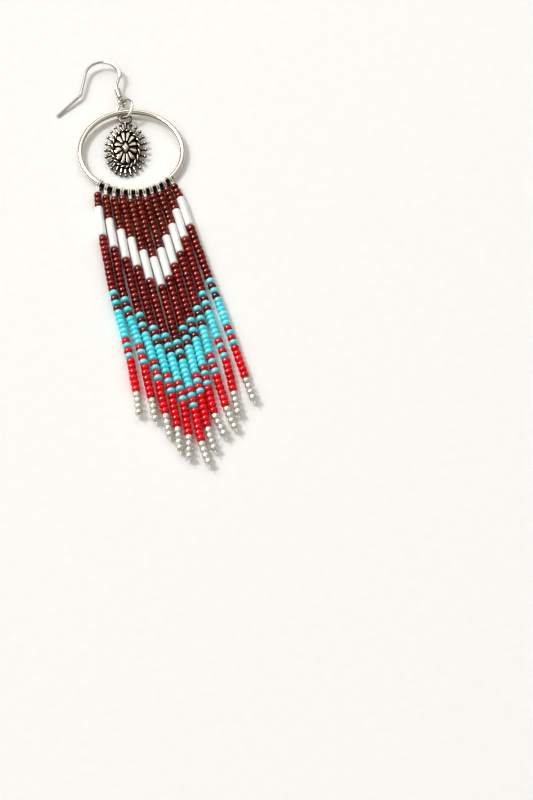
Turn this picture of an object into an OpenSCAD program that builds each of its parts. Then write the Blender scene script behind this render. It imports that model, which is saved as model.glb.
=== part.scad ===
// Long seed bead fringe on a round hoop, with a fish-hook ear wire and a cast oval charm.
// The earring lies on its back on a flat surface. X runs across it, Y runs up its length
// to the ear wire, and Z points up. The origin is the middle of its outline on that surface.
// Every length is in millimetres.

/* [Hoop] */
// Outside diameter of the round hoop
hoop_od = 30; // [29.6:0.1:30.4]
// Diameter of the hoop's wire
hoop_wire_d = 1.5; // [1.3:0.05:1.55]

/* [Ear wire] */
// Diameter of the ear wire
ear_wire_d = 0.8; // [0.6:0.05:0.85]
// Straight end of the back leg, behind its small bend
tail_l = 9; // [8.7:0.1:9.3]
// Back leg between its small bend and the arch
back_leg_l = 7; // [6.8:0.1:7.2]
// Radius of the arch that sits in the ear
arch_r = 4.8; // [4.7:0.05:4.9]
// Width of the hammered front of the arch
hammered_w = 1.15; // [0.9:0.05:1.3]
// Radius of the eye at the foot of the front leg
eye_r = 1.2; // [1.15:0.01:1.25]
// Wire of the small coil on the front leg
coil_wire_d = 0.5; // [0.3:0.05:0.55]
// Turns of the small coil
coil_turns = 6; // [4:1:6]

/* [Jump ring] */
// Radius of the jump ring to the middle of its wire
jump_ring_r = 2.9; // [2.85:0.01:2.95]
// Diameter of the jump ring's wire
jump_wire_d = 0.85; // [0.7:0.05:0.9]
// Lean of the jump ring from the flat surface, in degrees
jump_lean = 44; // [43:1:45]

/* [Charm] */
// Width of the oval charm over its ball tips
charm_w = 12.1; // [11.5:0.1:12.5]
// Length of the oval charm over its ball tips, without its bail
charm_l = 18.3; // [17.8:0.1:18.4]
// Spokes round the charm, counting the one that carries the bail
charm_spokes = 24; // [20:2:28]
// Turns of the rope border
rope_turns = 20; // [16:1:24]
// Petals round the charm's boss
petals = 12; // [8:1:14]

/* [Fringe] */
// Diameter of the rust seed beads
rust_d = 2; // [1.8:0.05:2.05]
// Diameter of the burgundy seed beads
burgundy_d = 2.1; // [1.9:0.05:2.2]
// Diameter of the red seed beads
red_d = 2.2; // [2:0.05:2.3]
// Diameter of the turquoise seed beads
turquoise_d = 2.24; // [2:0.02:2.3]
// Diameter of the silver beads at the tips
silver_d = 1.9; // [1.7:0.05:2]
// Length of a white bugle bead
bugle_l = 10.4; // [9:0.1:10.6]
// Diameter of a white bugle bead
bugle_d = 2.1; // [1.8:0.05:2.2]
// Bore of a white bugle bead
bugle_bore_d = 0.9; // [0.7:0.05:1]
// Diameter of the beading thread
thread_d = 0.4; // [0.3:0.05:0.5]
// Height that the thin tips of the strands curl up to
tip_z = 2; // [0.9:0.1:2.5]

/* [Hidden] */

$fn = 48;
// Colours of the finishes
plated = "silver";
antique = "dimgray";
bugle_white = "ivory";
bead_red = "firebrick";
thread_white = "gainsboro";

// Where the middle of the hoop lies over the surface, and its small rise toward the ear wire
hoop_x = 1.21;
hoop_y = 41.27;
hoop_z = 1.49;
hoop_rise = 1.17;
// Radius to the middle of the hoop's wire
hoop_r = (hoop_od - hoop_wire_d) / 2;
// Air left between pieces that lie against each other
seat_gap = 0.03;

// Ear wire: each row is a straight length, the bend after it and how far that turns
straight = 0;
bend_r = 1;
turn = 2;
small_bend_r = 1.6;
foot_bend_r = 1.5;
front_leg_l = 2.9;
eye_leg_l = 4.35;
ear_wire_rows = [
    [tail_l, small_bend_r, 33.5],
    [back_leg_l, arch_r, -183],
    [front_leg_l, foot_bend_r, 29],
    [eye_leg_l, 0, 0]];
arch_row = 1;
leg_row = 3;
// Free end of the back leg, measured from the middle of the hoop
ear_wire_end = [-17.35, 17.85, 0.42];
ear_wire_heading = 34.5;
ear_wire_rise = [1.4, -5.5, 0];
// The last stretch of the arch is hammered flat
hammered_turn = 100;
hammered_t = 0.55;
soft_edge = 0.16;
// How far round wire reaches into the hammered stretch, in degrees and in length
lap_turn = 3;
hammer_lap = 0.25;
knuckle_air = 0.02;
knuckle_r = ear_wire_d / 2 + 0.02;
// The eye is turned out of the plane of the hook
eye_twist = 50;
// The coil starts a little below the foot bend
coil_start = 0.3;
coil_pitch = coil_wire_d + 0.02;
coil_r = (ear_wire_d + coil_wire_d) / 2 + 0.05;
coil_steps = 14;
coil_sides = 6;

// Middle of the jump ring, measured from the middle of the hoop
jump_x = 1.17;
jump_y = 14.6;
jump_turn = -3;
jump_z = jump_ring_r * sin(jump_lean) + jump_wire_d / 2;

// Charm: middle of its oval, turn and rise, measured from the middle of the hoop
charm_x = -1.35;
charm_y = 1.15;
charm_z = 1.34;
charm_turn = -11.7;
charm_rise = [4.3, -2.3, 0];
ball_r = 0.45;
spoke_r = 0.3;
spoke_root_r = 0.48;
tip_a = charm_w / 2 - ball_r;
tip_b = charm_l / 2 - ball_r;
plate_a = 4.1;
plate_b = 6.6;
rope_a = 3.75;
rope_b = 6.2;
rope_r = 0.42;
rope_z = 0.55;
dome_z = 1.25;
bail_r = 1.55;
bail_wire_r = 0.33;
bail_y = 10.57;

// Fringe: count, length and size of the beads of each stretch of a strand
strand_count = 11;
middle_strand = 6;
most_rust = 13;
rust_pitch = 1.72;
burgundy_pitch = 1.81;
accent_pitch = 1.8;
turquoise_pitch = 1.72;
red_pitch = 1.98;
silver_pitch = 2.25;
accent_beads = 4;
turquoise_beads = 6;
silver_beads = 4;
tail_thread_l = 1.5;
bugle_air = 0.07;
ring_step = 6;
step_air = 0.05;
neck_air = 0.14;
strand_sides = 8;
rust_r = rust_d / 2;
burgundy_r = burgundy_d / 2;
turquoise_r = turquoise_d / 2;
red_r = red_d / 2;
silver_r = silver_d / 2;
thread_r = thread_d / 2;
loop_r = hoop_wire_d / 2 + thread_r + seat_gap;
// Reach of a thread loop from the middle of the hoop
loop_reach = hoop_r + loop_r + thread_r;

// One row a strand: bare thread under the hoop, burgundy beads, red beads, then the strand's
// place across the fringe at the hoop, at both ends of the bugle, below the burgundy, at both
// ends of the turquoise, where the red and the silver start, and at the tip
thread_col = 0;
burgundy_col = 1;
red_col = 2;
x_col = 3;
strands = [
    [2.2, 11, 6, -11.7, -12.9, -14.0, -15.2, -15.3, -15.3, -15.5, -16.2, -17.3],
    [1.8, 10, 6,  -9.9, -10.9, -11.7, -12.7, -12.5, -12.0, -12.2, -12.6, -13.2],
    [1.4, 11, 6,  -7.8,  -8.6,  -9.3,  -9.8,  -9.6,  -9.3,  -9.5, -10.0, -10.7],
    [0.4, 12, 6,  -5.7,  -6.4,  -6.8,  -7.1,  -6.9,  -6.8,  -7.0,  -7.7,  -8.9],
    [1.5, 11, 6,  -3.6,  -4.1,  -4.4,  -4.4,  -4.2,  -4.2,  -4.3,  -5.2,  -7.2],
    [0.7, 11, 6,  -1.5,  -1.8,  -1.6,  -1.6,  -1.6,  -1.6,  -1.8,  -2.4,  -2.0],
    [1.3, 10, 6,   0.6,   0.8,   1.0,   1.0,   1.1,   1.1,   0.9,   0.3,   0.6],
    [0.8, 11, 5,   2.7,   3.2,   3.4,   3.6,   3.6,   3.6,   3.4,   3.1,   4.5],
    [1.0, 11, 6,   4.8,   5.6,   5.9,   6.3,   6.4,   6.3,   6.5,   6.8,   7.9],
    [0.4, 11, 6,   6.9,   7.8,   8.2,   8.8,   9.1,   9.6,  10.2,  10.0,   9.5],
    [1.0, 11, 6,   8.9,   9.9,  10.5,  11.7,  12.4,  13.1,  13.6,  14.2,  14.8]];

// Small helpers for directions
function along(angle) = [cos(angle), sin(angle)];
function unit(v) = v / norm(v);
function last(list) = len(list) - 1;

// Closed tube through a list of [point, radius], with flat ends; it must not run straight up
module tube(rings, sides) {
    n = len(rings);
    points = [
        for (i = [0 : n - 1])
            let (
                ahead = rings[min(i + 1, n - 1)][0] - rings[max(i - 1, 0)][0],
                side = unit(cross(ahead, [0, 0, 1])),
                top = unit(cross(side, ahead)))
            for (j = [0 : sides - 1])
                rings[i][0] + rings[i][1] * (side * sin(360 * j / sides) - top * cos(360 * j / sides))];
    walls = [
        for (i = [0 : n - 2], j = [0 : sides - 1])
            [i * sides + j, i * sides + (j + 1) % sides,
                (i + 1) * sides + (j + 1) % sides, (i + 1) * sides + j]];
    first_end = [for (j = [0 : sides - 1]) sides - 1 - j];
    last_end = [for (j = [0 : sides - 1]) (n - 1) * sides + j];
    polyhedron(points, concat(walls, [first_end, last_end]), convexity = 6);
}

// Heading and start of each row of the ear wire, in the plane of the hook
function heading_at(i) = i == 0 ? ear_wire_heading : heading_at(i - 1) + ear_wire_rows[i - 1][turn];
function hand(row) = sign(ear_wire_rows[row][turn]);
function straight_end(i) = start_of(i) + ear_wire_rows[i][straight] * along(heading_at(i));
function bend_centre(i) =
    straight_end(i) + hand(i) * ear_wire_rows[i][bend_r] * along(heading_at(i) + 90);
function start_of(i) = i == 0 ? [0, 0]
    : bend_centre(i - 1) - hand(i - 1) * ear_wire_rows[i - 1][bend_r] * along(heading_at(i) + 90);

// Puts what follows in the plane of the hook, with the free end of its back leg at the zero point
module in_hook_plane() {
    translate([hoop_x, hoop_y, 0] + ear_wire_end) rotate(ear_wire_rise) children();
}

module round_bend(r, angle) {
    rotate_extrude(angle = angle) translate([r, 0]) circle(d = ear_wire_d);
}

// Flat wire with soft edges, as a hammer leaves it
module hammered_bend(r, angle) {
    w = hammered_w / 2;
    t = hammered_t / 2;
    rotate_extrude(angle = angle) translate([r, 0])
        polygon([[w, t - soft_edge], [w - soft_edge, t], [soft_edge - w, t], [-w, t - soft_edge],
            [-w, soft_edge - t], [soft_edge - w, -t], [w - soft_edge, -t], [w, soft_edge - t]]);
}

// One straight run; a round knuckle bridges the hair of air that it leaves at each bend
module ear_wire_run(i) {
    from = i == 0 ? 0 : i == arch_row + 1 ? -hammer_lap : knuckle_air;
    to = ear_wire_rows[i][straight] - (i == leg_row ? 0 : knuckle_air);
    translate(start_of(i)) rotate([0, 0, heading_at(i)]) rotate([0, 90, 0])
        translate([0, 0, from]) cylinder(d = ear_wire_d, h = to - from);
}

// Ball over a joint of the wire, with its seam square to the wire
module knuckle(place, heading) {
    translate(place) rotate([0, 0, heading + 90]) sphere(r = knuckle_r);
}

module ear_wire_bend(i) {
    row = ear_wire_rows[i];
    // Angle round the bend's centre where the bend begins, going counterclockwise
    bend_start = heading_at(i) - 90 * hand(i) + min(row[turn], 0);
    if (i == arch_row) {
        translate(bend_centre(i)) rotate([0, 0, bend_start]) hammered_bend(row[bend_r], hammered_turn);
        translate(bend_centre(i)) rotate([0, 0, bend_start + hammered_turn - lap_turn])
            round_bend(row[bend_r], abs(row[turn]) - hammered_turn + lap_turn);
        knuckle(straight_end(i), heading_at(i));
    } else {
        translate(bend_centre(i)) rotate([0, 0, bend_start]) round_bend(row[bend_r], abs(row[turn]));
        knuckle(straight_end(i), heading_at(i));
        knuckle(start_of(i + 1), heading_at(i + 1));
    }
}

module ear_wire() {
    color(plated) in_hook_plane() {
        for (i = [0 : last(ear_wire_rows)])
            ear_wire_run(i);
        for (i = [0 : leg_row - 1])
            ear_wire_bend(i);
        translate(straight_end(leg_row)) rotate([0, 0, heading_at(leg_row)]) rotate([-eye_twist, 0, 0])
            translate([eye_r, 0]) rotate_extrude() translate([eye_r, 0]) circle(r = knuckle_r);
    }
}

// Open coil of finer wire that sits loosely on the front leg
module ear_wire_coil() {
    steps = coil_turns * coil_steps;
    rings = [
        for (i = [0 : steps])
            let (angle = 360 * i / coil_steps)
            [[coil_r * cos(angle), coil_r * sin(angle), coil_pitch * i / coil_steps], coil_wire_d / 2]];
    color(plated) in_hook_plane()
        translate(start_of(leg_row)) rotate([0, 0, heading_at(leg_row)]) rotate([0, 90, 0])
            translate([0, 0, coil_start + coil_wire_d / 2]) tube(rings, coil_sides);
}

module jump_ring() {
    color(plated)
        translate([hoop_x + jump_x, hoop_y + jump_y, jump_z]) rotate([0, 0, jump_turn])
            rotate([0, -jump_lean, 0]) rotate_extrude() translate([jump_ring_r, 0]) circle(d = jump_wire_d);
}

// Puts what follows in the plane of the hoop, round its middle
module in_hoop_plane() {
    translate([hoop_x, hoop_y, hoop_z]) rotate([hoop_rise, 0, 0]) children();
}

module hoop() {
    color(plated) in_hoop_plane()
        rotate_extrude($fn = 96) translate([hoop_r, 0]) circle(d = hoop_wire_d);
}

// Low dome of the charm, as rings that shrink toward its top; each row is a share and a height
module charm_dome() {
    sides = 28;
    levels = [[0.94, -0.3], [1, 0], [0.98, 0.3], [0.78, 0.75], [0.5, 1.1], [0.25, dome_z]];
    points = [
        for (level = levels, j = [0 : sides - 1])
            [level[0] * plate_a * cos(360 * j / sides), level[0] * plate_b * sin(360 * j / sides), level[1]]];
    walls = [
        for (i = [0 : len(levels) - 2], j = [0 : sides - 1])
            [i * sides + j, (i + 1) * sides + j,
                (i + 1) * sides + (j + 1) % sides, i * sides + (j + 1) % sides]];
    bottom = [for (j = [0 : sides - 1]) j];
    top = [for (j = [0 : sides - 1]) len(levels) * sides - 1 - j];
    polyhedron(points, concat(walls, [bottom, top]), convexity = 4);
}

// Twisted rope that closes on itself round the dome, with two round strands
module charm_rope() {
    steps = rope_turns * 5;
    sides = 6;
    points = [
        for (i = [0 : steps - 1])
            let (
                a = 360 * i / steps,
                out = unit([cos(a) / rope_a, sin(a) / rope_b, 0]),
                twist = a * rope_turns / 2)
            for (j = [0 : sides - 1])
                let (
                    b = 360 * j / sides,
                    r = rope_r * (1 + 0.28 * cos(2 * (b - twist))))
                [rope_a * cos(a), rope_b * sin(a), rope_z] + r * (cos(b) * out + sin(b) * [0, 0, 1])];
    walls = [
        for (i = [0 : steps - 1], j = [0 : sides - 1])
            let (next = (i + 1) % steps)
            [i * sides + j, i * sides + (j + 1) % sides,
                next * sides + (j + 1) % sides, next * sides + j]];
    polyhedron(points, walls, convexity = 10);
}

module charm_spoke(a) {
    hull() {
        translate([0.9 * plate_a * cos(a), 0.9 * plate_b * sin(a), 0]) sphere(r = spoke_root_r, $fn = 6);
        translate([tip_a * cos(a), tip_b * sin(a), 0]) sphere(r = spoke_r, $fn = 6);
    }
    translate([tip_a * cos(a), tip_b * sin(a), 0]) sphere(r = ball_r, $fn = 8);
}

// Raised petal that widens outward
module charm_petal(a) {
    hull() {
        translate([1.15 * cos(a), 2.05 * sin(a), dome_z]) sphere(r = 0.2, $fn = 6);
        translate([2.15 * cos(a), 4.1 * sin(a), dome_z - 0.15]) sphere(r = 0.42, $fn = 8);
    }
}

module charm() {
    boss_a = 0.95;
    boss_b = 1.6;
    color(antique)
        translate([hoop_x + charm_x, hoop_y + charm_y, charm_z]) rotate(charm_rise)
            rotate([0, 0, charm_turn]) {
                charm_dome();
                charm_rope();
                for (i = [1 : charm_spokes - 1])
                    charm_spoke(90 + 360 * i / charm_spokes);
                for (i = [0 : petals - 1])
                    charm_petal(90 + 360 * (i + 0.5) / petals);
                hull() {
                    for (side = [-1, 1]) {
                        translate([side * boss_a, 0, dome_z + 0.1]) sphere(r = 0.1, $fn = 6);
                        translate([0, side * boss_b, dome_z + 0.1]) sphere(r = 0.1, $fn = 6);
                    }
                    translate([0, 0, dome_z - 0.2]) sphere(r = 0.5, $fn = 8);
                    translate([0, 0, dome_z + 0.75]) sphere(r = 0.15, $fn = 8);
                }
                hull() {
                    translate([0, 0.9 * plate_b, 0.1]) sphere(r = 0.6, $fn = 10);
                    translate([0, bail_y - bail_r, 0]) sphere(r = 0.5, $fn = 10);
                }
                translate([0, bail_y, 0]) rotate_extrude($fn = 24)
                    translate([bail_r, 0]) circle(r = bail_wire_r, $fn = 8);
            }
}

// Place on the hoop of a strand's thread, as an angle from straight down the fringe
function loop_angle(k) = asin(strands[k][x_col] / loop_reach);

// One loop of thread over the hoop for each strand
module thread_loops() {
    color(thread_white) in_hoop_plane()
        for (k = [0 : strand_count - 1])
            rotate([0, 0, loop_angle(k) - 90]) translate([hoop_r, 0]) rotate([90, 0, 0])
                rotate_extrude($fn = 24) translate([loop_r, 0]) circle(r = thread_r, $fn = 16);
}

function rust_beads(k) = most_rust - 2 * abs(k + 1 - middle_strand);

// Lengths of the stretches of a strand, in order from the hoop to the tip
function stretches(k) = [
    strands[k][thread_col],
    rust_beads(k) * rust_pitch,
    bugle_l + 2 * bugle_air,
    strands[k][burgundy_col] * burgundy_pitch,
    accent_beads * accent_pitch,
    turquoise_beads * turquoise_pitch,
    accent_beads * accent_pitch,
    strands[k][red_col] * red_pitch,
    silver_beads * silver_pitch,
    tail_thread_l];
stretch_radii = [
    thread_r, rust_r, thread_r, burgundy_r, burgundy_r, turquoise_r, red_r, red_r, silver_r, thread_r];
bugle_stretch = 2;

// How far down the fringe stretch i of strand k starts
function stretch_y(k, i) = i == 0 ? -(loop_reach + neck_air) * cos(loop_angle(k))
    : stretch_y(k, i - 1) - stretches(k)[i - 1];

// Knots of the route, as [y, x] and [y, z], from the tip to the hoop, as lookup wants them;
// the bare thread and the rust beads share one straight run, and so do silver beads and tail
knot_rows = [10, 8, 7, 6, 5, 4, 3, 2, 0];
knot_z = [tip_z, red_r, red_r, turquoise_r, turquoise_r, burgundy_r, burgundy_r, bugle_d / 2, rust_r];
function x_knots(k) = [
    for (i = [0 : len(knot_rows) - 1])
        [stretch_y(k, knot_rows[i]), strands[k][x_col + len(knot_rows) - 1 - i]]];
function z_knots(k) = [for (i = [0 : len(knot_rows) - 1]) [stretch_y(k, knot_rows[i]), knot_z[i]]];
function strand_point(k, y) = [lookup(y, x_knots(k)), y, lookup(y, z_knots(k))];

// Rings of one stretch: its two ends and enough between them
function stretch_rings(k, i) =
    let (
        y_top = stretch_y(k, i) - (i == 0 ? 0 : step_air / 2),
        y_end = stretch_y(k, i + 1) + step_air / 2,
        steps = ceil((y_top - y_end) / ring_step))
    [for (s = [0 : steps]) [strand_point(k, y_top + (y_end - y_top) * s / steps), stretch_radii[i]]];

// One strand as a tube over its beads, thin where the thread shows or runs through the bugle
module strand(k) {
    rings = [for (i = [0 : len(stretch_radii) - 1]) each stretch_rings(k, i)];
    color(bead_red) translate([hoop_x, hoop_y, 0]) tube(rings, strand_sides);
}

// White glass tube with a round bore, between the rust and the burgundy beads
module bugle(k) {
    top = strand_point(k, stretch_y(k, bugle_stretch));
    end = strand_point(k, stretch_y(k, bugle_stretch + 1));
    flat = norm([end[0] - top[0], end[1] - top[1]]);
    r = bugle_d / 2;
    bore = bugle_bore_d / 2;
    // Melted rim: share of the radius, and how far from the end of the tube
    rim = [[0.64, 0], [0.88, 0.13], [1, 0.4]];
    color(bugle_white) translate([hoop_x, hoop_y, 0] + top)
        rotate([0, 90 - atan2(end[2] - top[2], flat), atan2(end[1] - top[1], end[0] - top[0])])
            translate([0, 0, (norm(end - top) - bugle_l) / 2]) rotate_extrude() polygon(concat(
                [[bore, 0]],
                [for (i = [0 : last(rim)]) [rim[i][0] * r, rim[i][1]]],
                [for (i = [last(rim) : -1 : 0]) [rim[i][0] * r, bugle_l - rim[i][1]]],
                [[bore, bugle_l]]));
}

ear_wire();
ear_wire_coil();
jump_ring();
hoop();
charm();
thread_loops();
bugle(0);  // bugle_01
bugle(1);  // bugle_02
bugle(2);  // bugle_03
bugle(3);  // bugle_04
bugle(4);  // bugle_05
bugle(5);  // bugle_06
bugle(6);  // bugle_07
bugle(7);  // bugle_08
bugle(8);  // bugle_09
bugle(9);  // bugle_10
bugle(10);  // bugle_11
strand(0);  // strand_01
strand(1);  // strand_02
strand(2);  // strand_03
strand(3);  // strand_04
strand(4);  // strand_05
strand(5);  // strand_06
strand(6);  // strand_07
strand(7);  // strand_08
strand(8);  // strand_09
strand(9);  // strand_10
strand(10);  // strand_11
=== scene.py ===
# %% [markdown]
# # A beaded fringe earring
#
# This lesson dresses a hoop earring with a long seed bead fringe. Its metal parts and bugle beads
# come as measured solids, and each strand of the fringe comes as a plain tube that holds its
# place. Here the tubes become beads on thread, the bugles get melted rims, the cast charm gets its
# full relief, and every surface gets the finish of the real one. The earring lies on its back on
# a pale surface, with +Y up its length and +Z up from the surface.

# %% Load the solids
import math
import random

import bpy
from mathutils import Matrix, Vector
from mathutils.bvhtree import BVHTree


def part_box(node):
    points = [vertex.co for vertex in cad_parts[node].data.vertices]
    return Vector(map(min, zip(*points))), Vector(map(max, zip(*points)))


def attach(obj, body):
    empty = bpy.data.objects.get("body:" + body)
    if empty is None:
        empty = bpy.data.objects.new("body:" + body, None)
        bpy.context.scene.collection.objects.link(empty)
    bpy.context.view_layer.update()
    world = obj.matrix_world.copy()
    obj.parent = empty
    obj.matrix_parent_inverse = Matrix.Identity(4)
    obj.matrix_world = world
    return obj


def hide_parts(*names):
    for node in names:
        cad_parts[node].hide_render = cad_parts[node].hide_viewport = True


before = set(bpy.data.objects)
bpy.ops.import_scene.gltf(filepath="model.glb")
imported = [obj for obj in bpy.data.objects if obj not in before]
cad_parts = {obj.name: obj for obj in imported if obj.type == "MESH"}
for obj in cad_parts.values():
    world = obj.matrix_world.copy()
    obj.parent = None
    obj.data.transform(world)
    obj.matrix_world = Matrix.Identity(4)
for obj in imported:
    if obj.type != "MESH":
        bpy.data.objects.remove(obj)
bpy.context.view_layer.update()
mm = 0.001

# %% [markdown]
# ## Where things lie
#
# The middle of the hoop is the point that every other place is measured from, because it is the
# one round part that can be found exactly: its box gives it. The hoop rises a little toward the
# ear wire, where the jump ring lifts it.

# %% The middle of the hoop
hoop_low, hoop_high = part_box("hoop")
hoop_middle = (hoop_low + hoop_high) / 2
hoop_wire = 1.5 * mm
hoop_r = (hoop_high.x - hoop_low.x - hoop_wire) / 2
hoop_rise = math.radians(1.17)
print("hoop middle in mm:", [round(v / mm, 2) for v in hoop_middle], "radius", round(hoop_r / mm, 2))

# %% [markdown]
# ## Camera
#
# The round hoop shows as an ellipse 0.785 as high as it is wide, so the camera looks down at
# about 50 degrees. The fringe hangs 12 degrees off the picture's upright, so the camera is turned
# by that much. A long lens keeps the small beads at the tips as large as those at the hoop.
# The picture shows 3.6 pixels for each millimetre at the hoop.

# %% Camera
look_down = math.radians(50.5)
look_turn = math.radians(12)
picture_w, picture_h = 533, 800
pixels_per_mm = 3.6
hoop_pixel = (131.3, 152.0)
lens = 1000
sensor = 36

across = Vector((math.cos(look_turn), -math.sin(look_turn), 0))
ahead = Vector((math.sin(look_turn) * math.cos(look_down), math.cos(look_turn) * math.cos(look_down),
                -math.sin(look_down)))
up = across.cross(ahead)
target = (hoop_middle + across * (picture_w / 2 - hoop_pixel[0]) / pixels_per_mm * mm
          + up * (hoop_pixel[1] - picture_h / 2) / pixels_per_mm * mm)
distance = picture_h / pixels_per_mm * mm / 2 / (sensor / 2 / lens)
camera = bpy.data.objects.new("camera", bpy.data.cameras.new("camera"))
camera.data.lens = lens
camera.data.sensor_width = sensor
camera.data.clip_start = 0.1
camera.data.clip_end = 50
camera.matrix_world = Matrix.Translation(target - ahead * distance) @ Matrix(
    (across, up, -ahead)).transposed().to_4x4()
bpy.context.collection.objects.link(camera)
bpy.context.scene.camera = camera
bpy.context.scene.view_settings.view_transform = "Standard"
bpy.context.scene.view_settings.look = "High Contrast"
print("camera stands back in m:", round(distance, 2))

# %% [markdown]
# ## Light and floor
#
# The shadows are short and soft-edged. They fall to the right and a little toward the viewer, so
# the key light stands to the left, behind the earring, about 49 degrees up. A wide window light
# in the same place makes the shadows pale, and so does a bright room all round. A panel behind
# the earring shows in flat metal that faces up. The glint panel shows in reflections only, so it
# sets a highlight on each bead and leaves the shadows alone.
#
# Polished metal shows whatever stands around it, so the room isn't one even white: it darkens
# in a band above the horizon, and that band draws the dark lines along the hoop and the wires.
# It's darker straight overhead too, so less light gets down between the strands.

# %% Floor
def clear_selection():
    if bpy.context.mode != "OBJECT":
        bpy.ops.object.mode_set(mode="OBJECT")
    bpy.ops.object.select_all(action="DESELECT")


clear_selection()
bpy.ops.mesh.primitive_plane_add(size=6, location=(0, 0, 0))
floor = bpy.context.object
floor.name = "floor"
print("floor:", floor.name)

# %% Lights
floor_up = Vector((math.sin(look_turn), math.cos(look_turn), 0))
key_behind, key_left = 0.39, 0.78
toward_key = (floor_up * key_behind - across * key_left + Vector((0, 0, 1))).normalized()


def area_light(name, toward, away, size, power, colour):
    lamp = bpy.data.lights.new(name, "AREA")
    lamp.shape = "DISK"
    lamp.size = size
    lamp.energy = power
    lamp.color = colour
    holder = bpy.data.objects.new(name, lamp)
    holder.location = toward * away
    holder.rotation_mode = "QUATERNION"
    holder.rotation_quaternion = toward.to_track_quat("Z", "Y")
    bpy.context.collection.objects.link(holder)
    return holder


area_light("key_light", toward_key, 5.0, 1.05, 66, (1.0, 1.0, 1.0))
area_light("window_light", toward_key, 5.0, 4.5, 35, (1.0, 1.0, 1.0))
toward_back = floor_up * math.cos(look_down) + Vector((0, 0, math.sin(look_down)))
area_light("back_panel", toward_back, 3.6, 2.2, 9.6, (1.0, 0.99, 0.98))
glint_panel = area_light("glint_panel", toward_key, 4.0, 2.8, 90, (1.0, 1.0, 0.99))
glint_panel.visible_diffuse = False
print("key light toward:", [round(v, 2) for v in toward_key])

# %% Room
world = bpy.data.worlds.new("studio_room")
bpy.context.scene.world = world
world.use_nodes = True
room = world.node_tree
room.nodes.clear()
room_out = room.nodes.new("ShaderNodeOutputWorld")
room_light = room.nodes.new("ShaderNodeBackground")
room_light.inputs["Strength"].default_value = 0.43
room_tone = room.nodes.new("ShaderNodeValToRGB")
room_height = room.nodes.new("ShaderNodeSeparateXYZ")
room_place = room.nodes.new("ShaderNodeTexCoord")
room.links.new(room_place.outputs["Generated"], room_height.inputs[0])
room.links.new(room_height.outputs["Z"], room_tone.inputs["Fac"])
room.links.new(room_tone.outputs["Color"], room_light.inputs["Color"])
room.links.new(room_light.outputs[0], room_out.inputs["Surface"])
room_tint = (1, 0.975, 0.935)
# Sine of the height above the horizon, and how bright the room is there
room_bands = [(0.0, 0.8), (0.04, 0.1), (0.3, 0.12), (0.42, 1.4), (0.75, 1.3), (1.0, 0.45)]
tones = room_tone.color_ramp.elements
while len(tones) < len(room_bands):
    tones.new(0.5)
for stop, (height, tone) in zip(tones, room_bands):
    stop.position = height
    stop.color = (*(tone * part for part in room_tint), 1)
print("room bands:", len(room_bands))

# %% [markdown]
# ## Finishes
#
# Every finish starts from what the real surface is. Colours are written as they look on a
# screen, and one function turns them into the light values that the shader wants. One more
# function adds a node to a material with its settings and its links, so each finish reads as a
# short recipe.

# %% Colour and node helpers
def colour(hex_code):
    parts = [int(hex_code[i:i + 2], 16) / 255 for i in (1, 3, 5)]
    return tuple(c / 12.92 if c <= 0.04045 else ((c + 0.055) / 1.055) ** 2.4 for c in parts) + (1,)


def new_finish(name):
    finish = bpy.data.materials.new(name)
    finish.use_nodes = True
    finish.node_tree.nodes.clear()
    return finish


def add(finish, kind, inputs=None, links=None, **properties):
    """Adds one node with its properties, its input values and the sockets that feed its inputs"""
    node = finish.node_tree.nodes.new(kind)
    for key, value in properties.items():
        setattr(node, key, value)
    for key, value in (inputs or {}).items():
        node.inputs[key].default_value = value
    for key, socket in (links or {}).items():
        finish.node_tree.links.new(socket, node.inputs[key])
    return node


def ramp(finish, source, stops):
    node = add(finish, "ShaderNodeValToRGB", links={"Fac": source})
    elements = node.color_ramp.elements
    while len(elements) < len(stops):
        elements.new(0.5)
    for element, (position, value) in zip(elements, stops):
        element.position = position
        element.color = value
    return node.outputs["Color"]


def grey(value):
    return (value, value, value, 1)


print("dark rust is", [round(v, 3) for v in colour("#5A1103")])

# %% [markdown]
# ### Glass seed beads
#
# Seed beads are cut from drawn glass rod and tumbled hot, so they are glossy and softly
# rounded, and no two are quite alike. These are opaque all through. Each bead carries a number
# of its own, called tone, and the finish reads it: some beads come out a little darker or
# lighter. The fire-polished skin has faint waves about 0.6 mm apart.

# %% Opaque glass
def opaque_glass(name, dark, mid, light, roughness=0.13):
    finish = new_finish(name)
    tone = add(finish, "ShaderNodeAttribute", attribute_name="tone")
    body = ramp(finish, tone.outputs["Fac"],
                [(0.0, colour(dark)), (0.5, colour(mid)), (1.0, colour(light))])
    place = add(finish, "ShaderNodeTexCoord")
    waves = add(finish, "ShaderNodeTexNoise", {"Scale": 1 / (0.6 * mm), "Detail": 1.0},
                {"Vector": place.outputs["Object"]})
    skin = add(finish, "ShaderNodeBump", {"Strength": 0.08, "Distance": 0.04 * mm},
               {"Height": waves.outputs["Fac"]})
    shader = add(finish, "ShaderNodeBsdfPrincipled",
                 {"Roughness": roughness, "IOR": 1.6},
                 {"Base Color": body, "Normal": skin.outputs["Normal"]})
    add(finish, "ShaderNodeOutputMaterial", links={"Surface": shader.outputs[0]})
    return finish


glass = {
    "rust": opaque_glass("rust_opaque_glass", "#5A1103", "#7E2205", "#A03410"),
    "burgundy": opaque_glass("burgundy_opaque_glass", "#560805", "#841109", "#A42014"),
    "turquoise": opaque_glass("turquoise_opaque_glass", "#50E0EE", "#74EEF7", "#9CF5FB", 0.15),
    "red": opaque_glass("red_opaque_glass", "#C80416", "#EA0622", "#FA1A34"),
}
print("glass colours:", sorted(glass))

# %% [markdown]
# ### Silver beads and silver plate
#
# The beads at the tips are glass with a thin bright metal skin, a little uneven. The hoop, the
# ear wire and the jump ring are silver-plated brass, polished but handled: smooth, with faint
# wear patches about 0.5 mm across that blur the reflections slightly. The ear wire is handled
# most, so it's a little duller and greyer.

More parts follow.
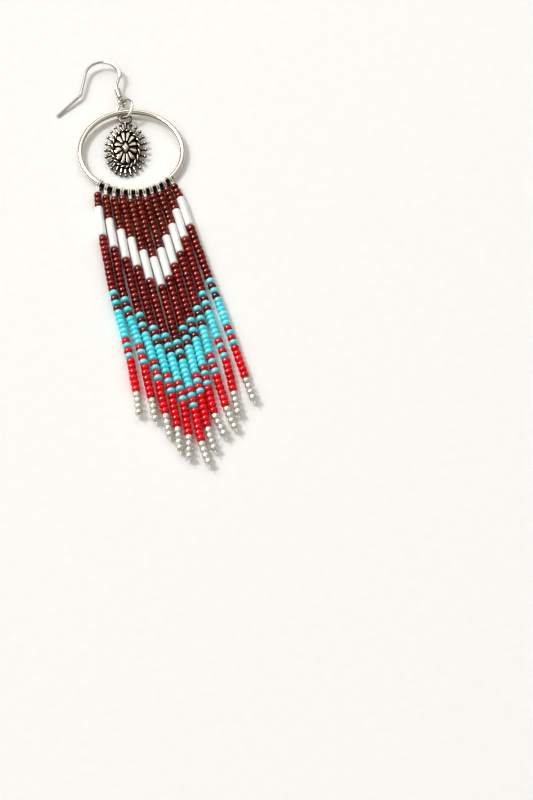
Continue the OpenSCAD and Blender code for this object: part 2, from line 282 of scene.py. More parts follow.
# %% Metal finishes
def plated(name, tint, roughness, grain, depth, metal=1.0):
    finish = new_finish(name)
    place = add(finish, "ShaderNodeTexCoord")
    wear = add(finish, "ShaderNodeTexNoise", {"Scale": 1 / grain, "Detail": 3.0},
                    {"Vector": place.outputs["Object"]})
    worn = ramp(finish, wear.outputs["Fac"],
                [(0.3, grey(roughness * 0.75)), (0.7, grey(roughness * 1.35))])
    surface = add(finish, "ShaderNodeBump", {"Strength": 0.25, "Distance": depth},
                  {"Height": wear.outputs["Fac"]})
    shader = add(finish, "ShaderNodeBsdfPrincipled", {"Base Color": colour(tint), "Metallic": metal},
                 {"Roughness": worn, "Normal": surface.outputs["Normal"]})
    add(finish, "ShaderNodeOutputMaterial", links={"Surface": shader.outputs[0]})
    return finish


wear_grain, wear_depth = 0.5 * mm, 0.02 * mm
silver_plate = plated("polished_silver_plate", "#E8E4DB", 0.14, wear_grain, wear_depth)
wire_silver = plated("handled_silver_plate", "#CECDC8", 0.2, wear_grain, wear_depth)
silver_bead = plated("silver_skinned_glass", "#DEDCD5", 0.34, wear_grain, 4 * wear_depth, 0.7)
print("metals:", silver_plate.name, silver_bead.name)

# %% [markdown]
# ### Painted shade under the threads
#
# Between the turns of thread the outer side of the hoop is painted nearly black: painted shade and
# a painted reflection of the dark beads in front of it. The finish finds that arc from the place
# itself: how far a point lies from the middle of the hoop, and how far along the middle of the
# threaded arc.

# %% Hoop finish
threads_turn = math.radians(-5.6)
threads_half_angle = math.radians(42)
arc_blur = 0.3 * mm
# The second colour is painted shade: the wire's dark reflection of the beads and the shadow between the
# turns
clean_silver, painted_shade_silver = "#E4DFD5", "#3A2C22"


# Polished silver plate with painted shade and a painted reflection on the outer side of the threaded arc
def painted_shade_hoop_finish(name):
    finish = plated(name, clean_silver, 0.14, wear_grain, wear_depth)
    shader = next(n for n in finish.node_tree.nodes if n.type == "BSDF_PRINCIPLED")
    place = add(finish, "ShaderNodeTexCoord")
    from_middle = add(finish, "ShaderNodeVectorMath", {1: hoop_middle * Vector((1, 1, 0))},
                      {0: place.outputs["Object"]}, operation="SUBTRACT")
    flat = add(finish, "ShaderNodeVectorMath", {1: (1, 1, 0)}, {0: from_middle.outputs[0]},
               operation="MULTIPLY")
    reach = add(finish, "ShaderNodeVectorMath", links={0: flat.outputs[0]}, operation="LENGTH")
    down = add(finish, "ShaderNodeVectorMath", {1: (math.sin(threads_turn), -math.cos(threads_turn), 0)},
               {0: flat.outputs[0]}, operation="DOT_PRODUCT")
    edge = hoop_r * math.cos(threads_half_angle)
    in_arc = add(finish, "ShaderNodeMapRange", {1: edge - arc_blur, 2: edge + arc_blur},
                 {0: down.outputs["Value"]})
    outside = add(finish, "ShaderNodeMapRange", {1: hoop_r - 0.15 * mm, 2: hoop_r + 0.1 * mm},
                  {0: reach.outputs["Value"]})
    # Painted shade: dark only on the outer side of the wire, within the threaded arc
    dark = add(finish, "ShaderNodeMath", links={0: in_arc.outputs[0], 1: outside.outputs[0]},
               operation="MULTIPLY")
    body = ramp(finish, dark.outputs[0], [(0.1, colour(clean_silver)), (0.7, colour(painted_shade_silver))])
    finish.node_tree.links.new(body, shader.inputs["Base Color"])
    return finish


hoop_silver_painted_shade = painted_shade_hoop_finish("silver_plate_painted_shade")
print("hoop finish:", hoop_silver_painted_shade.name)

# %% [markdown]
# ### Antique silver
#
# The charm is cast, dipped in a black patina and rubbed back, so its high places are bright and
# its recesses nearly black. How hidden a place is gets measured on the mesh itself, and sides that
# don't face up get painted shade on top; the sum is a number called patina_and_shade, and the
# finish reads it.

# %% Antique finish
def antique(name):
    finish = new_finish(name)
    patina_and_shade = add(finish, "ShaderNodeAttribute", attribute_name="patina_and_shade")
    place = add(finish, "ShaderNodeTexCoord")
    mottle = add(finish, "ShaderNodeTexNoise", {"Scale": 1 / (0.5 * mm), "Detail": 4.0},
                 {"Vector": place.outputs["Object"]})
    # Patina in the hollows plus painted shade on sides that face down, with a mottle
    depth = add(finish, "ShaderNodeMath", {1: 0.45},
                {0: mottle.outputs["Fac"], 2: patina_and_shade.outputs["Fac"]}, operation="MULTIPLY_ADD")
    body = ramp(finish, depth.outputs[0],
                [(0.36, colour("#BCB6AC")), (0.52, colour("#867C6D")), (0.66, colour("#34281B"))])
    sheen = ramp(finish, depth.outputs[0], [(0.4, grey(0.2)), (0.62, grey(0.6))])
    surface = add(finish, "ShaderNodeBump", {"Strength": 0.3, "Distance": 0.04 * mm},
                  {"Height": mottle.outputs["Fac"]})
    shader = add(finish, "ShaderNodeBsdfPrincipled", {"Metallic": 0.9},
                 {"Base Color": body, "Roughness": sheen, "Normal": surface.outputs["Normal"]})
    add(finish, "ShaderNodeOutputMaterial", links={"Surface": shader.outputs[0]})
    return finish


antique_silver = antique("antique_cast_silver")
print("antique:", antique_silver.name)

# %% [markdown]
# ### Milky white glass, thread and the floor
#
# The bugles are thick opaque white glass that lets a little light in under its skin. The thread
# is twisted nylon, about four plies, waxed: a soft sheen and a slow twist, 2.5 mm long. The floor is
# matt white card.

# %% White glass, thread and floor finishes
def milky_glass(name):
    finish = new_finish(name)
    place = add(finish, "ShaderNodeTexCoord")
    cloud = add(finish, "ShaderNodeTexNoise", {"Scale": 1 / (2.5 * mm), "Detail": 2.0},
                {"Vector": place.outputs["Object"]})
    body = ramp(finish, cloud.outputs["Fac"], [(0.3, colour("#F1EFEA")), (0.7, colour("#FBFAF7"))])
    skin = add(finish, "ShaderNodeBump", {"Strength": 0.1, "Distance": 0.05 * mm},
               {"Height": cloud.outputs["Fac"]})
    shader = add(finish, "ShaderNodeBsdfPrincipled",
                 {"Roughness": 0.24, "IOR": 1.52, "Subsurface Weight": 0.5, "Subsurface Scale": 1.2 * mm,
                  "Subsurface Radius": (1.0, 0.96, 0.9)},
                 {"Base Color": body, "Normal": skin.outputs["Normal"]})
    add(finish, "ShaderNodeOutputMaterial", links={"Surface": shader.outputs[0]})
    return finish


def waxed_thread(name, dark, light):
    # A diagonal wave of scale 1 repeats every 0.628 along one axis
    repeat, twist_length = 0.628, 2.5 * mm
    finish = new_finish(name)
    place = add(finish, "ShaderNodeTexCoord")
    plies = add(finish, "ShaderNodeTexWave", {"Scale": repeat / twist_length, "Distortion": 1.5},
                {"Vector": place.outputs["Object"]}, bands_direction="DIAGONAL")
    body = ramp(finish, plies.outputs["Fac"], [(0.0, colour(dark)), (0.6, colour(light))])
    twist = add(finish, "ShaderNodeBump", {"Strength": 0.5, "Distance": 0.03 * mm},
                {"Height": plies.outputs["Fac"]})
    shader = add(finish, "ShaderNodeBsdfPrincipled", {"Roughness": 0.5, "Sheen Weight": 0.2},
                 {"Base Color": body, "Normal": twist.outputs["Normal"]})
    add(finish, "ShaderNodeOutputMaterial", links={"Surface": shader.outputs[0]})
    return finish


def matt_card(name):
    finish = new_finish(name)
    place = add(finish, "ShaderNodeTexCoord")
    tooth = add(finish, "ShaderNodeTexNoise", {"Scale": 1 / (3 * mm), "Detail": 4.0},
                {"Vector": place.outputs["Object"]})
    body = ramp(finish, tooth.outputs["Fac"], [(0.3, colour("#F3F3F1")), (0.7, colour("#F5F5F3"))])
    shader = add(finish, "ShaderNodeBsdfPrincipled", {"Roughness": 0.9, "Specular IOR Level": 0.2},
                 {"Base Color": body})
    add(finish, "ShaderNodeOutputMaterial", links={"Surface": shader.outputs[0]})
    return finish


white_glass = milky_glass("milky_white_glass")
thread = waxed_thread("waxed_nylon_thread", "#DCD7CC", "#F8F6F0")
# Dark thread used as painted shade: it stands for the shadow and dark reflections between the white
# turns
painted_shade_thread = waxed_thread("black_thread_painted_shade", "#1A120E", "#3A2C24")
floor.data.materials.append(matt_card("matt_white_card"))
print("soft finishes:", white_glass.name, thread.name)

# %% [markdown]
# ## The route of each strand
#
# A strand is one thread with all its beads on it. The table gives what can't be worked out: how
# much bare thread shows under the hoop, how many burgundy and red beads there are, and where
# the strand lies across the fringe at nine places down its length. Everything else follows from
# the sizes of the beads. The beads lie on the surface, so a big bead rides a little higher than
# a small one, and the light tips curl up.

# %% Bead sizes and the strand table, in millimetres
bead_d = {"rust": 2.0, "burgundy": 2.1, "turquoise": 2.24, "red": 2.2, "silver": 1.9, "bugle": 2.1}
plump = {"rust": 1.08, "burgundy": 1.12, "turquoise": 1.09, "red": 1.08, "silver": 1.16,
         "bugle": 1.1}
pitch = {"rust": 1.72, "burgundy": 1.81, "turquoise": 1.72, "red": 1.98, "silver": 2.25, "accent": 1.8}
accent_beads, turquoise_beads, silver_beads = 4, 6, 4
bugle_l, bugle_air = 10.4, 0.07
thread_d, tail_thread_l, neck_air = 0.4, 1.5, 0.14
tip_z = 2.0
loop_r = hoop_wire / mm / 2 + thread_d / 2 + 0.03
loop_reach = hoop_r / mm + loop_r + thread_d / 2

# Bare thread, burgundy beads, red beads, then the strand's place across the fringe at the hoop,
# at both ends of the bugle, below the burgundy, at both ends of the turquoise, where the red and
# the silver start, and at the tip. The hoop's middle is at 0.
strands = [
    [2.2, 11, 6, -11.7, -12.9, -14.0, -15.2, -15.3, -15.3, -15.5, -16.2, -17.3],
    [1.8, 10, 6, -9.9, -10.9, -11.7, -12.7, -12.5, -12.0, -12.2, -12.6, -13.2],
    [1.4, 11, 6, -7.8, -8.6, -9.3, -9.8, -9.6, -9.3, -9.5, -10.0, -10.7],
    [0.4, 12, 6, -5.7, -6.4, -6.8, -7.1, -6.9, -6.8, -7.0, -7.7, -8.9],
    [1.5, 11, 6, -3.6, -4.1, -4.4, -4.4, -4.2, -4.2, -4.3, -5.2, -7.2],
    [0.7, 11, 6, -1.5, -1.8, -1.6, -1.6, -1.6, -1.6, -1.8, -2.4, -2.0],
    [1.3, 10, 6, 0.6, 0.8, 1.0, 1.0, 1.1, 1.1, 0.9, 0.3, 0.6],
    [0.8, 11, 5, 2.7, 3.2, 3.4, 3.6, 3.6, 3.6, 3.4, 3.1, 4.5],
    [1.0, 11, 6, 4.8, 5.6, 5.9, 6.3, 6.4, 6.3, 6.5, 6.8, 7.9],
    [0.4, 11, 6, 6.9, 7.8, 8.2, 8.8, 9.1, 9.6, 10.2, 10.0, 9.5],
    [1.0, 11, 6, 8.9, 9.9, 10.5, 11.7, 12.4, 13.1, 13.6, 14.2, 14.8],
]
middle_strand, most_rust = 5, 13
print("strands:", len(strands))


# %% Stretches of a strand
def stretches(k):
    """(what is threaded, how many, pitch) from the hoop to the tip of strand k"""
    bare, burgundy, red = strands[k][:3]
    rust = most_rust - 2 * abs(k - middle_strand)
    return [("bare", 1, bare), ("rust", rust, pitch["rust"]), ("bugle", 1, bugle_l + 2 * bugle_air),
            ("burgundy", burgundy, pitch["burgundy"]),
            ("turquoise_burgundy", accent_beads, pitch["accent"]),
            ("turquoise", turquoise_beads, pitch["turquoise"]),
            ("red_turquoise", accent_beads, pitch["accent"]), ("red", red, pitch["red"]),
            ("silver", silver_beads, pitch["silver"]), ("tail", 1, tail_thread_l)]


def loop_angle(k):
    return math.asin(strands[k][3] / loop_reach)


def stretch_starts(k):
    """How far along +Y each stretch starts, with the tip last, measured from the middle of the hoop"""
    starts = [-(loop_reach + neck_air) * math.cos(loop_angle(k))]
    for _, count, step in stretches(k):
        starts.append(starts[-1] - count * step)
    return starts


# The starts at which the table places a strand, and its height above the surface there
knot_rows = [0, 2, 3, 4, 5, 6, 7, 8, 10]
knot_z = [bead_d["rust"] / 2, bead_d["bugle"] / 2, bead_d["burgundy"] / 2, bead_d["burgundy"] / 2,
          bead_d["turquoise"] / 2, bead_d["turquoise"] / 2, bead_d["red"] / 2, bead_d["red"] / 2, tip_z]


def between(y, ys, values):
    """Value at y on the broken line through the knots, whose ys go down"""
    for i in range(len(ys) - 1):
        if y >= ys[i + 1] or i == len(ys) - 2:
            share = min(max((ys[i] - y) / (ys[i] - ys[i + 1]), 0), 1)
            return values[i] + (values[i + 1] - values[i]) * share


def strand_point(k, y):
    starts = stretch_starts(k)
    ys = [starts[row] for row in knot_rows]
    return Vector((between(y, ys, strands[k][3:]), y, between(y, ys, knot_z)))


def placed(point):
    """A point of the fringe in metres, in the frame of the whole earring"""
    return Vector((point.x * mm + hoop_middle.x, point.y * mm + hoop_middle.y, point.z * mm))


print("strand 6 ends at mm:", [round(v, 1) for v in strand_point(5, stretch_starts(5)[-1])])

# %% [markdown]
# ## One seed bead
#
# A seed bead is a short piece of drawn glass tube with its edges melted round. So it is made
# the same way: a cylinder of twelve sides, its ends inset to the width of the hole and bridged
# through, and its outer rims bevelled round. There are hundreds of them, so one bead has only
# about a hundred faces, and smooth shading rounds it. A bugle bead is the same tube cut long,
# with more sides, because its whole length shows them.

# %% Choosing faces
def select_faces(piece, test):
    """Opens edit mode with the faces selected that pass the test"""
    if bpy.context.mode != "EDIT_MESH":
        bpy.ops.object.mode_set(mode="EDIT")
    bpy.ops.mesh.select_mode(type="FACE")
    bpy.ops.mesh.select_all(action="DESELECT")
    bpy.ops.object.mode_set(mode="OBJECT")
    for face in piece.data.polygons:
        face.select = test(face)
    bpy.ops.object.mode_set(mode="EDIT")


def close_up(smooth_angle=None):
    """Turns all normals outward, leaves edit mode and shades the piece smooth"""
    bpy.ops.mesh.select_all(action="SELECT")
    bpy.ops.mesh.normals_make_consistent(inside=False)
    bpy.ops.object.mode_set(mode="OBJECT")
    if smooth_angle:
        bpy.ops.object.shade_smooth_by_angle(angle=math.radians(smooth_angle))
    else:
        bpy.ops.object.shade_smooth()


print("helpers: select_faces, close_up")


# %% Model a bead
def model_bead(kind, length, hole, rim=0.6, sides=12):
    diameter = bead_d[kind] * mm
    clear_selection()
    bpy.ops.mesh.primitive_cylinder_add(vertices=sides, radius=diameter / 2, depth=length)
    bead = bpy.context.object
    bead.name = kind + "_bead"
    select_faces(bead, lambda face: abs(face.normal.z) > 0.9)
    bpy.ops.mesh.inset(thickness=diameter / 2 - hole / 2)
    bpy.ops.mesh.bridge_edge_loops()
    bpy.ops.mesh.select_mode(type="EDGE")
    bpy.ops.mesh.select_all(action="DESELECT")
    bpy.ops.object.mode_set(mode="OBJECT")
    corners = bead.data.vertices
    for edge in bead.data.edges:
        a, b = (corners[i].co for i in edge.vertices)
        outer = min(a.xy.length, b.xy.length) > diameter * 0.45
        edge.select = outer and abs(a.z - b.z) < 1e-6
    bpy.ops.object.mode_set(mode="EDIT")
    bpy.ops.mesh.bevel(offset=rim * mm, segments=3, profile=0.5)
    close_up()
    print(bead.name, "faces:", len(bead.data.polygons))
    return bead


bead_shapes = {
    "rust": model_bead("rust", 1.71 * mm, 0.7 * mm),
    "burgundy": model_bead("burgundy", 1.79 * mm, 0.75 * mm),
    "turquoise": model_bead("turquoise", 1.71 * mm, 0.8 * mm),
    "red": model_bead("red", 1.95 * mm, 0.8 * mm, rim=0.66),
    "silver": model_bead("silver", 1.95 * mm, 0.6 * mm, rim=0.62),
    "bugle": model_bead("bugle", bugle_l * mm, 0.8 * mm, rim=0.35, sides=24),
}

# %% [markdown]
# ## Threading the beads
#
# Each bead is a copy of its kind with its own mesh, stretched and tilted a little at random, and
# turned so that its hole lies along the thread. The table called plump makes each kind a little
# wider than the plain tube, because the widest beads of a strand nearly touch the next strand.
# Within a strand the copies are joined, so a strand is one piece of glass beads and one of
# silver beads. The random numbers start from a fixed seed, so the fringe comes out the same
# every time. A bugle is long and well cut, so it lies straight and stays a piece of its own.

# %% Bead placing
fringe_random = random.Random(11)
tilt_spread, side_spread, tone_spread = 0.05, 0.04, 0.15
tilt_room = 0.03


def copy_of(shape, place):
    """A copy of a shape with its own mesh, set in its place"""
    copy = shape.copy()
    copy.data = shape.data.copy()
    bpy.context.collection.objects.link(copy)
    copy.data.transform(place)
    return copy


def threaded_bead(kind, place, along, tone):
    tilt = Vector((fringe_random.gauss(0, tilt_spread), 0, fringe_random.gauss(0, tilt_spread)))
    turn = (along + tilt).to_track_quat("Z", "X").to_matrix().to_4x4()
    spin = Matrix.Rotation(fringe_random.uniform(0, math.tau), 4, "Z")
    width = plump[kind] * fringe_random.uniform(0.975, 1.025)
    place.z = max(place.z, (bead_d[kind] * width / 2 + tilt_room) * mm)
    size = Matrix.Diagonal((width, width, fringe_random.uniform(0.94, 1.03), 1))
    bead = copy_of(bead_shapes[kind], Matrix.Translation(place) @ turn @ spin @ size)
    bead.data.materials.append(silver_bead if kind == "silver" else glass[kind])
    values = bead.data.attributes.new("tone", "FLOAT", "POINT")
    for point in values.data:
        point.value = tone
    return bead


def join(name, pieces):
    clear_selection()
    for piece in pieces:
        piece.select_set(True)
    bpy.context.view_layer.objects.active = pieces[0]
    bpy.ops.object.join()
    joined = bpy.context.object
    joined.name = name
    joined.data.name = name
    return joined


print("bead kinds:", sorted(bead_shapes))


# %% What each stretch is threaded with
def bead_row(kind, count):
    """Colours of the beads of one stretch, from the hoop down"""
    if kind in ("rust", "burgundy", "turquoise", "red", "silver"):
        return [kind] * count
    if kind in ("turquoise_burgundy", "red_turquoise"):
        return kind.split("_") * (count // 2)
    return []


def strand_beads(k):
    glass_beads, silver_tips = [], []
    starts = stretch_starts(k)
    beside = 0.4
    for (stretch, count, step), top in zip(stretches(k), starts):
        for i, kind in enumerate(bead_row(stretch, count)):
            y = top - (i + 0.5) * step
            along = strand_point(k, y + beside) - strand_point(k, y - beside)
            spot = strand_point(k, y) + Vector((fringe_random.gauss(0, side_spread), 0, 0))
            tone = min(max(fringe_random.gauss(0.5, tone_spread), 0), 1)
            bead = threaded_bead(kind, placed(spot), along, tone)
            (silver_tips if kind == "silver" else glass_beads).append(bead)
    return glass_beads, silver_tips


# %% Thread all eleven strands
def threaded_bugle(k):
    top = stretch_starts(k)[2] - bugle_air
    high, low = (placed(strand_point(k, y)) for y in (top, top - bugle_l))
    middle = (high + low) / 2
    width = plump["bugle"]
    middle.z = max(middle.z, bead_d["bugle"] * width / 2 * mm)
    turn = (high - low).to_track_quat("Z", "X").to_matrix().to_4x4()
    size = Matrix.Diagonal((width, width, 1, 1))
    bugle = copy_of(bead_shapes["bugle"], Matrix.Translation(middle) @ turn @ size)
    bugle.name = bugle.data.name = f"bugle_{k + 1:02d}_glass"
    bugle.data.materials.append(white_glass)
    return bugle


total_beads = 0
for k in range(len(strands)):
    node = f"strand_{k + 1:02d}"
    glass_beads, silver_tips = strand_beads(k)
    total_beads += len(glass_beads) + len(silver_tips)
    for name, pieces, slot in ((node + "_glass_beads", glass_beads, "bead_glass"),
                               (node + "_silver_beads", silver_tips, "silver_plate")):
        strand_piece = join(name, pieces)
        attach(strand_piece, "root")
        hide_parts(node)
    bugle = threaded_bugle(k)
    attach(bugle, "root")
    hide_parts(f"bugle_{k + 1:02d}")
print("beads:", total_beads, "bugles:", len(strands))

# %% [markdown]
# ## Thread
#
# The thread runs through every bead and shows bare under the hoop, between loose beads and as a
# short cut tail at each tip, drawn a little thinner there. It is swept along the strand's route
# as a curve with a round section, made a mesh and handed over like any other piece.

# %% Sweep a thread
def sweep(name, points, radius, finish, closed=False, radii=None):
    path = bpy.data.curves.new(name, "CURVE")
    path.dimensions = "3D"
    path.bevel_depth = radius
    path.bevel_resolution = 2
    path.resolution_u = 2
    path.use_fill_caps = True
    line = path.splines.new("POLY")
    line.points.add(len(points) - 1)
    for i, (spot, point) in enumerate(zip(line.points, points)):
        spot.co = (*point, 1)
        spot.radius = radii[i] if radii else 1
    line.use_cyclic_u = closed
    curve = bpy.data.objects.new(name, path)
    bpy.context.collection.objects.link(curve)
    clear_selection()
    curve.select_set(True)
    bpy.context.view_layer.objects.active = curve
    bpy.ops.object.convert(target="MESH")
    piece = bpy.context.object
    bpy.ops.object.shade_smooth()
    piece.data.materials.clear()
    piece.data.materials.append(finish)
    return piece


thread_steps, tail_thinness = 60, 0.6
for k in range(len(strands)):
    starts = stretch_starts(k)
    ys = [starts[0] + (starts[-1] - starts[0]) * i / thread_steps for i in range(thread_steps + 1)]
    thickness = [1 if y > starts[-2] else tail_thinness for y in ys]
    line = sweep(f"strand_{k + 1:02d}_thread", [placed(strand_point(k, y)) for y in ys],
                 thread_d / 2 * mm, thread, radii=thickness)
    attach(line, "root")
    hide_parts(f"strand_{k + 1:02d}")
print("threads:", len(strands))

# %% [markdown]
# ## Loops over the hoop
#
# Each strand hangs from two white turns of thread that lie side by side over the hoop's wire, and
# go down together into the first bead. Between the strands, an arc of dark thread lies against
# the outer side of the wire: it is painted shade, a dark piece that stands for the shadow and the
# dark reflections between the white turns. A turn is a closed ring round the wire, and a shade
# arc is an open arc that bulges outward.

# %% Thread loops
def hoop_place(angle, out, lift):
    """A point near the hoop's wire: angle from straight down the fringe, distance out and up"""
    reach = hoop_r + out
    flat = Vector((reach * math.sin(angle), -reach * math.cos(angle), lift))
    return hoop_middle + Matrix.Rotation(hoop_rise, 3, "X") @ flat


def turn_of_thread(name, angle, radius, finish):
    points = []
    for i in range(24):
        a = math.tau * i / 24
        points.append(hoop_place(angle, loop_r * mm * math.cos(a), loop_r * mm * math.sin(a)))
    return sweep(name, points, radius, finish, closed=True)


turn_r, leg_r, shade_arc_r, shade_arc_bulge = 0.23 * mm, 0.22 * mm, 0.2 * mm, 0.7 * mm
white_side = 0.28 * mm / hoop_r
loops = []
for k in range(len(strands)):
    for side in (-1, 1):
        angle = loop_angle(k) + side * white_side
        loops.append(turn_of_thread(f"loop_{k}_{side}", angle, turn_r, thread))
        first = strand_point(k, stretch_starts(k)[1])
        down = [hoop_place(angle, (loop_r - 0.05) * mm, 0), placed(first + Vector((side * 0.1, 0.2, 0)))]
        loops.append(sweep(f"leg_{k}_{side}", down, leg_r, thread))
# Painted shade: a dark thread arc on the outer side of the wire between each pair of strands
for k in range(len(strands) - 1):
    middle = (loop_angle(k) + loop_angle(k + 1)) / 2
    arc = []
    for i in range(17):
        a = math.radians(15 - 120 * i / 16)
        bulge = shade_arc_bulge * math.sin(math.pi * i / 16)
        arc.append(hoop_place(middle, loop_r * mm * math.cos(a) + bulge, loop_r * mm * math.sin(a)))
    loops.append(sweep(f"shade_arc_{k}", arc, shade_arc_r, painted_shade_thread))
thread_turns_and_shade_arcs = join("thread_turns_and_shade_arcs", loops)
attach(thread_turns_and_shade_arcs, "root")
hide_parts("thread_loops")
print("turns and legs of thread:", len(loops))

# %% [markdown]
# ## The cast charm
#
# The charm carries most of the earring's fine detail, so its coarser solid is replaced by one
# with the full relief. A low dome is drawn up from an oval plate, one oval ring after another.
# On it stand a rhombus boss, twelve petals and a rope border of two round strands twisted
# together, and 23 spokes with ball tips stick out all round. Petals, spokes and balls are each
# modelled once and copied round the oval. The neck and the bail are swept.

# %% Charm sizes and place, in millimetres
charm_plate, charm_tips, charm_rope = (4.1, 6.6), (5.6, 8.7), (3.75, 6.2)
rope_z, spoke_count, petal_count = 0.6, 24, 12
bail_r, bail_wire_r, bail_y = 1.55, 0.33, 10.57
charm_left, charm_above, charm_height = 1.35, 1.15, 1.34
charm_roll, charm_pitch, charm_turn = (math.radians(angle) for angle in (-2.3, 4.3, -11.7))
charm_place = (Matrix.Translation((hoop_middle.x - charm_left * mm, hoop_middle.y + charm_above * mm,
                                   charm_height * mm))
               @ Matrix.Rotation(charm_roll, 4, "Y") @ Matrix.Rotation(charm_pitch, 4, "X")
               @ Matrix.Rotation(charm_turn, 4, "Z"))


def on_oval(half_axes, angle, z=0.0):
    return Vector((half_axes[0] * math.cos(angle), half_axes[1] * math.sin(angle), z)) * mm


lean = charm_place.to_3x3().col[2].angle(Vector((0, 0, 1)))
print("charm leans by degrees:", round(math.degrees(lean), 1))


# %% Dome of the charm
def model_dome():
    """Each ring has its share of the plate's outline and its height, from the back to the top"""
    clear_selection()
    bpy.ops.mesh.primitive_circle_add(vertices=72, radius=mm, fill_type="NGON")
    dome = bpy.context.object
    bpy.ops.object.mode_set(mode="EDIT")
    bpy.ops.mesh.select_all(action="SELECT")
    share, height = 0.94, -0.3
    bpy.ops.transform.resize(value=(charm_plate[0] * share, charm_plate[1] * share, 1))
    bpy.ops.transform.translate(value=(0, 0, height * mm))
    for next_share, next_height in [(1, -0.1), (1, 0.15), (0.94, 0.3), (0.86, 0.34), (0.76, 0.45),
                                    (0.66, 0.62), (0.54, 0.78), (0.42, 0.9), (0.3, 0.98), (0.15, 1.02)]:
        bpy.ops.mesh.extrude_region_move(
            TRANSFORM_OT_translate={"value": (0, 0, (next_height - height) * mm)})
        bpy.ops.transform.resize(value=(next_share / share, next_share / share, 1))
        share, height = next_share, next_height
    bpy.ops.mesh.poke()
    close_up(50)
    return dome


dome = model_dome()
print("dome faces:", len(dome.data.polygons))


# %% One petal, one spoke, one ball, one boss
def model_petal():
    """A wedge along +X, one millimetre long, with a round tip and soft edges"""
    clear_selection()
    bpy.ops.mesh.primitive_cube_add(size=mm)
    petal = bpy.context.object
    select_faces(petal, lambda face: face.normal.x > 0.9)
    bpy.ops.transform.resize(value=(1, 1.06, 1))
    bpy.ops.mesh.extrude_region_move(TRANSFORM_OT_translate={"value": (0.18 * mm, 0, -0.04 * mm)})
    bpy.ops.transform.resize(value=(1, 0.55, 0.8))
    select_faces(petal, lambda face: face.normal.x < -0.9)
    bpy.ops.transform.resize(value=(1, 0.4, 1))
    bpy.ops.mesh.select_all(action="SELECT")
    bpy.ops.mesh.bevel(offset=0.11 * mm, segments=2, profile=0.6)
    close_up(60)
    return petal


def model_spoke():
    """A tapered rod along +Z, one millimetre long, thick at its root"""
    clear_selection()
    bpy.ops.mesh.primitive_cone_add(vertices=10, radius1=0.52 * mm, radius2=0.3 * mm, depth=mm)
    spoke = bpy.context.object
    bpy.ops.object.mode_set(mode="EDIT")
    bpy.ops.mesh.select_all(action="SELECT")
    bpy.ops.mesh.subdivide(number_cuts=2)
    select_faces(spoke, lambda face: face.center.z < -0.45 * mm)
    bpy.ops.transform.resize(value=(1.2, 1.2, 1))
    close_up(50)
    return spoke


def model_ball():
    """A ball with a small dimple at +Z, as a worn casting has"""
    clear_selection()
    bpy.ops.mesh.primitive_uv_sphere_add(segments=14, ring_count=10, radius=0.48 * mm)
    ball = bpy.context.object
    select_faces(ball, lambda face: face.center.z > 0.43 * mm)
    bpy.ops.transform.resize(value=(0.8, 0.8, 1))
    bpy.ops.mesh.inset(thickness=0.04 * mm)
    bpy.ops.transform.translate(value=(0, 0, -0.14 * mm))
    close_up(50)
    return ball


def model_boss():
    """A rhombus with sloping sides and soft edges on a low base"""
    clear_selection()
    bpy.ops.mesh.primitive_cone_add(vertices=4, radius1=mm, radius2=0.55 * mm, depth=0.5 * mm,
                                    location=(0, 0, 1.6 * mm))
    boss = bpy.context.object
    bpy.ops.object.transform_apply()
    select_faces(boss, lambda face: face.normal.z < -0.9)
    bpy.ops.mesh.extrude_region_move(TRANSFORM_OT_translate={"value": (0, 0, -0.5 * mm)})
    bpy.ops.mesh.select_all(action="SELECT")
    bpy.ops.transform.resize(value=(1.25, 2.1, 1))
    bpy.ops.mesh.bevel(offset=0.07 * mm, segments=2)
    close_up(40)
    return boss


print("parts of the charm: petal, spoke, ball, boss")


# %% Copies round the oval
def stretched(start, end, axis, width=1.0):
    """Turns and lengthens a one millimetre part so that it runs from start to end"""
    turn = (end - start).to_track_quat(axis, "Y" if axis == "Z" else "Z").to_matrix().to_4x4()
    longer = (end - start).length / mm
    size = (longer, width, 1, 1) if axis == "X" else (width, width, longer, 1)
    return Matrix.Translation((start + end) / 2) @ turn @ Matrix.Diagonal(size)


charm_parts = [dome, model_boss()]
petal, spoke, ball = model_petal(), model_spoke(), model_ball()
for i in range(petal_count):
    angle = math.radians(90) + math.tau * (i + 0.5) / petal_count
    start, end = on_oval((1.15, 2.1), angle, 0.95), on_oval((2.85, 5.0), angle, 0.8)
    charm_parts.append(copy_of(petal, stretched(start, end, "X", 0.92 + 0.26 * abs(math.cos(angle)))))
for i in range(1, spoke_count):
    angle = math.radians(90) + math.tau * i / spoke_count
    start, end = on_oval(charm_plate, angle) * 0.93, on_oval(charm_tips, angle)
    charm_parts.append(copy_of(spoke, stretched(start, end, "Z")))
    outward = (end - start).to_track_quat("Z", "Y").to_matrix().to_4x4()
    charm_parts.append(copy_of(ball, Matrix.Translation(end) @ outward))
for shape in (petal, spoke, ball):
    bpy.data.objects.remove(shape)
print("charm parts:", len(charm_parts))

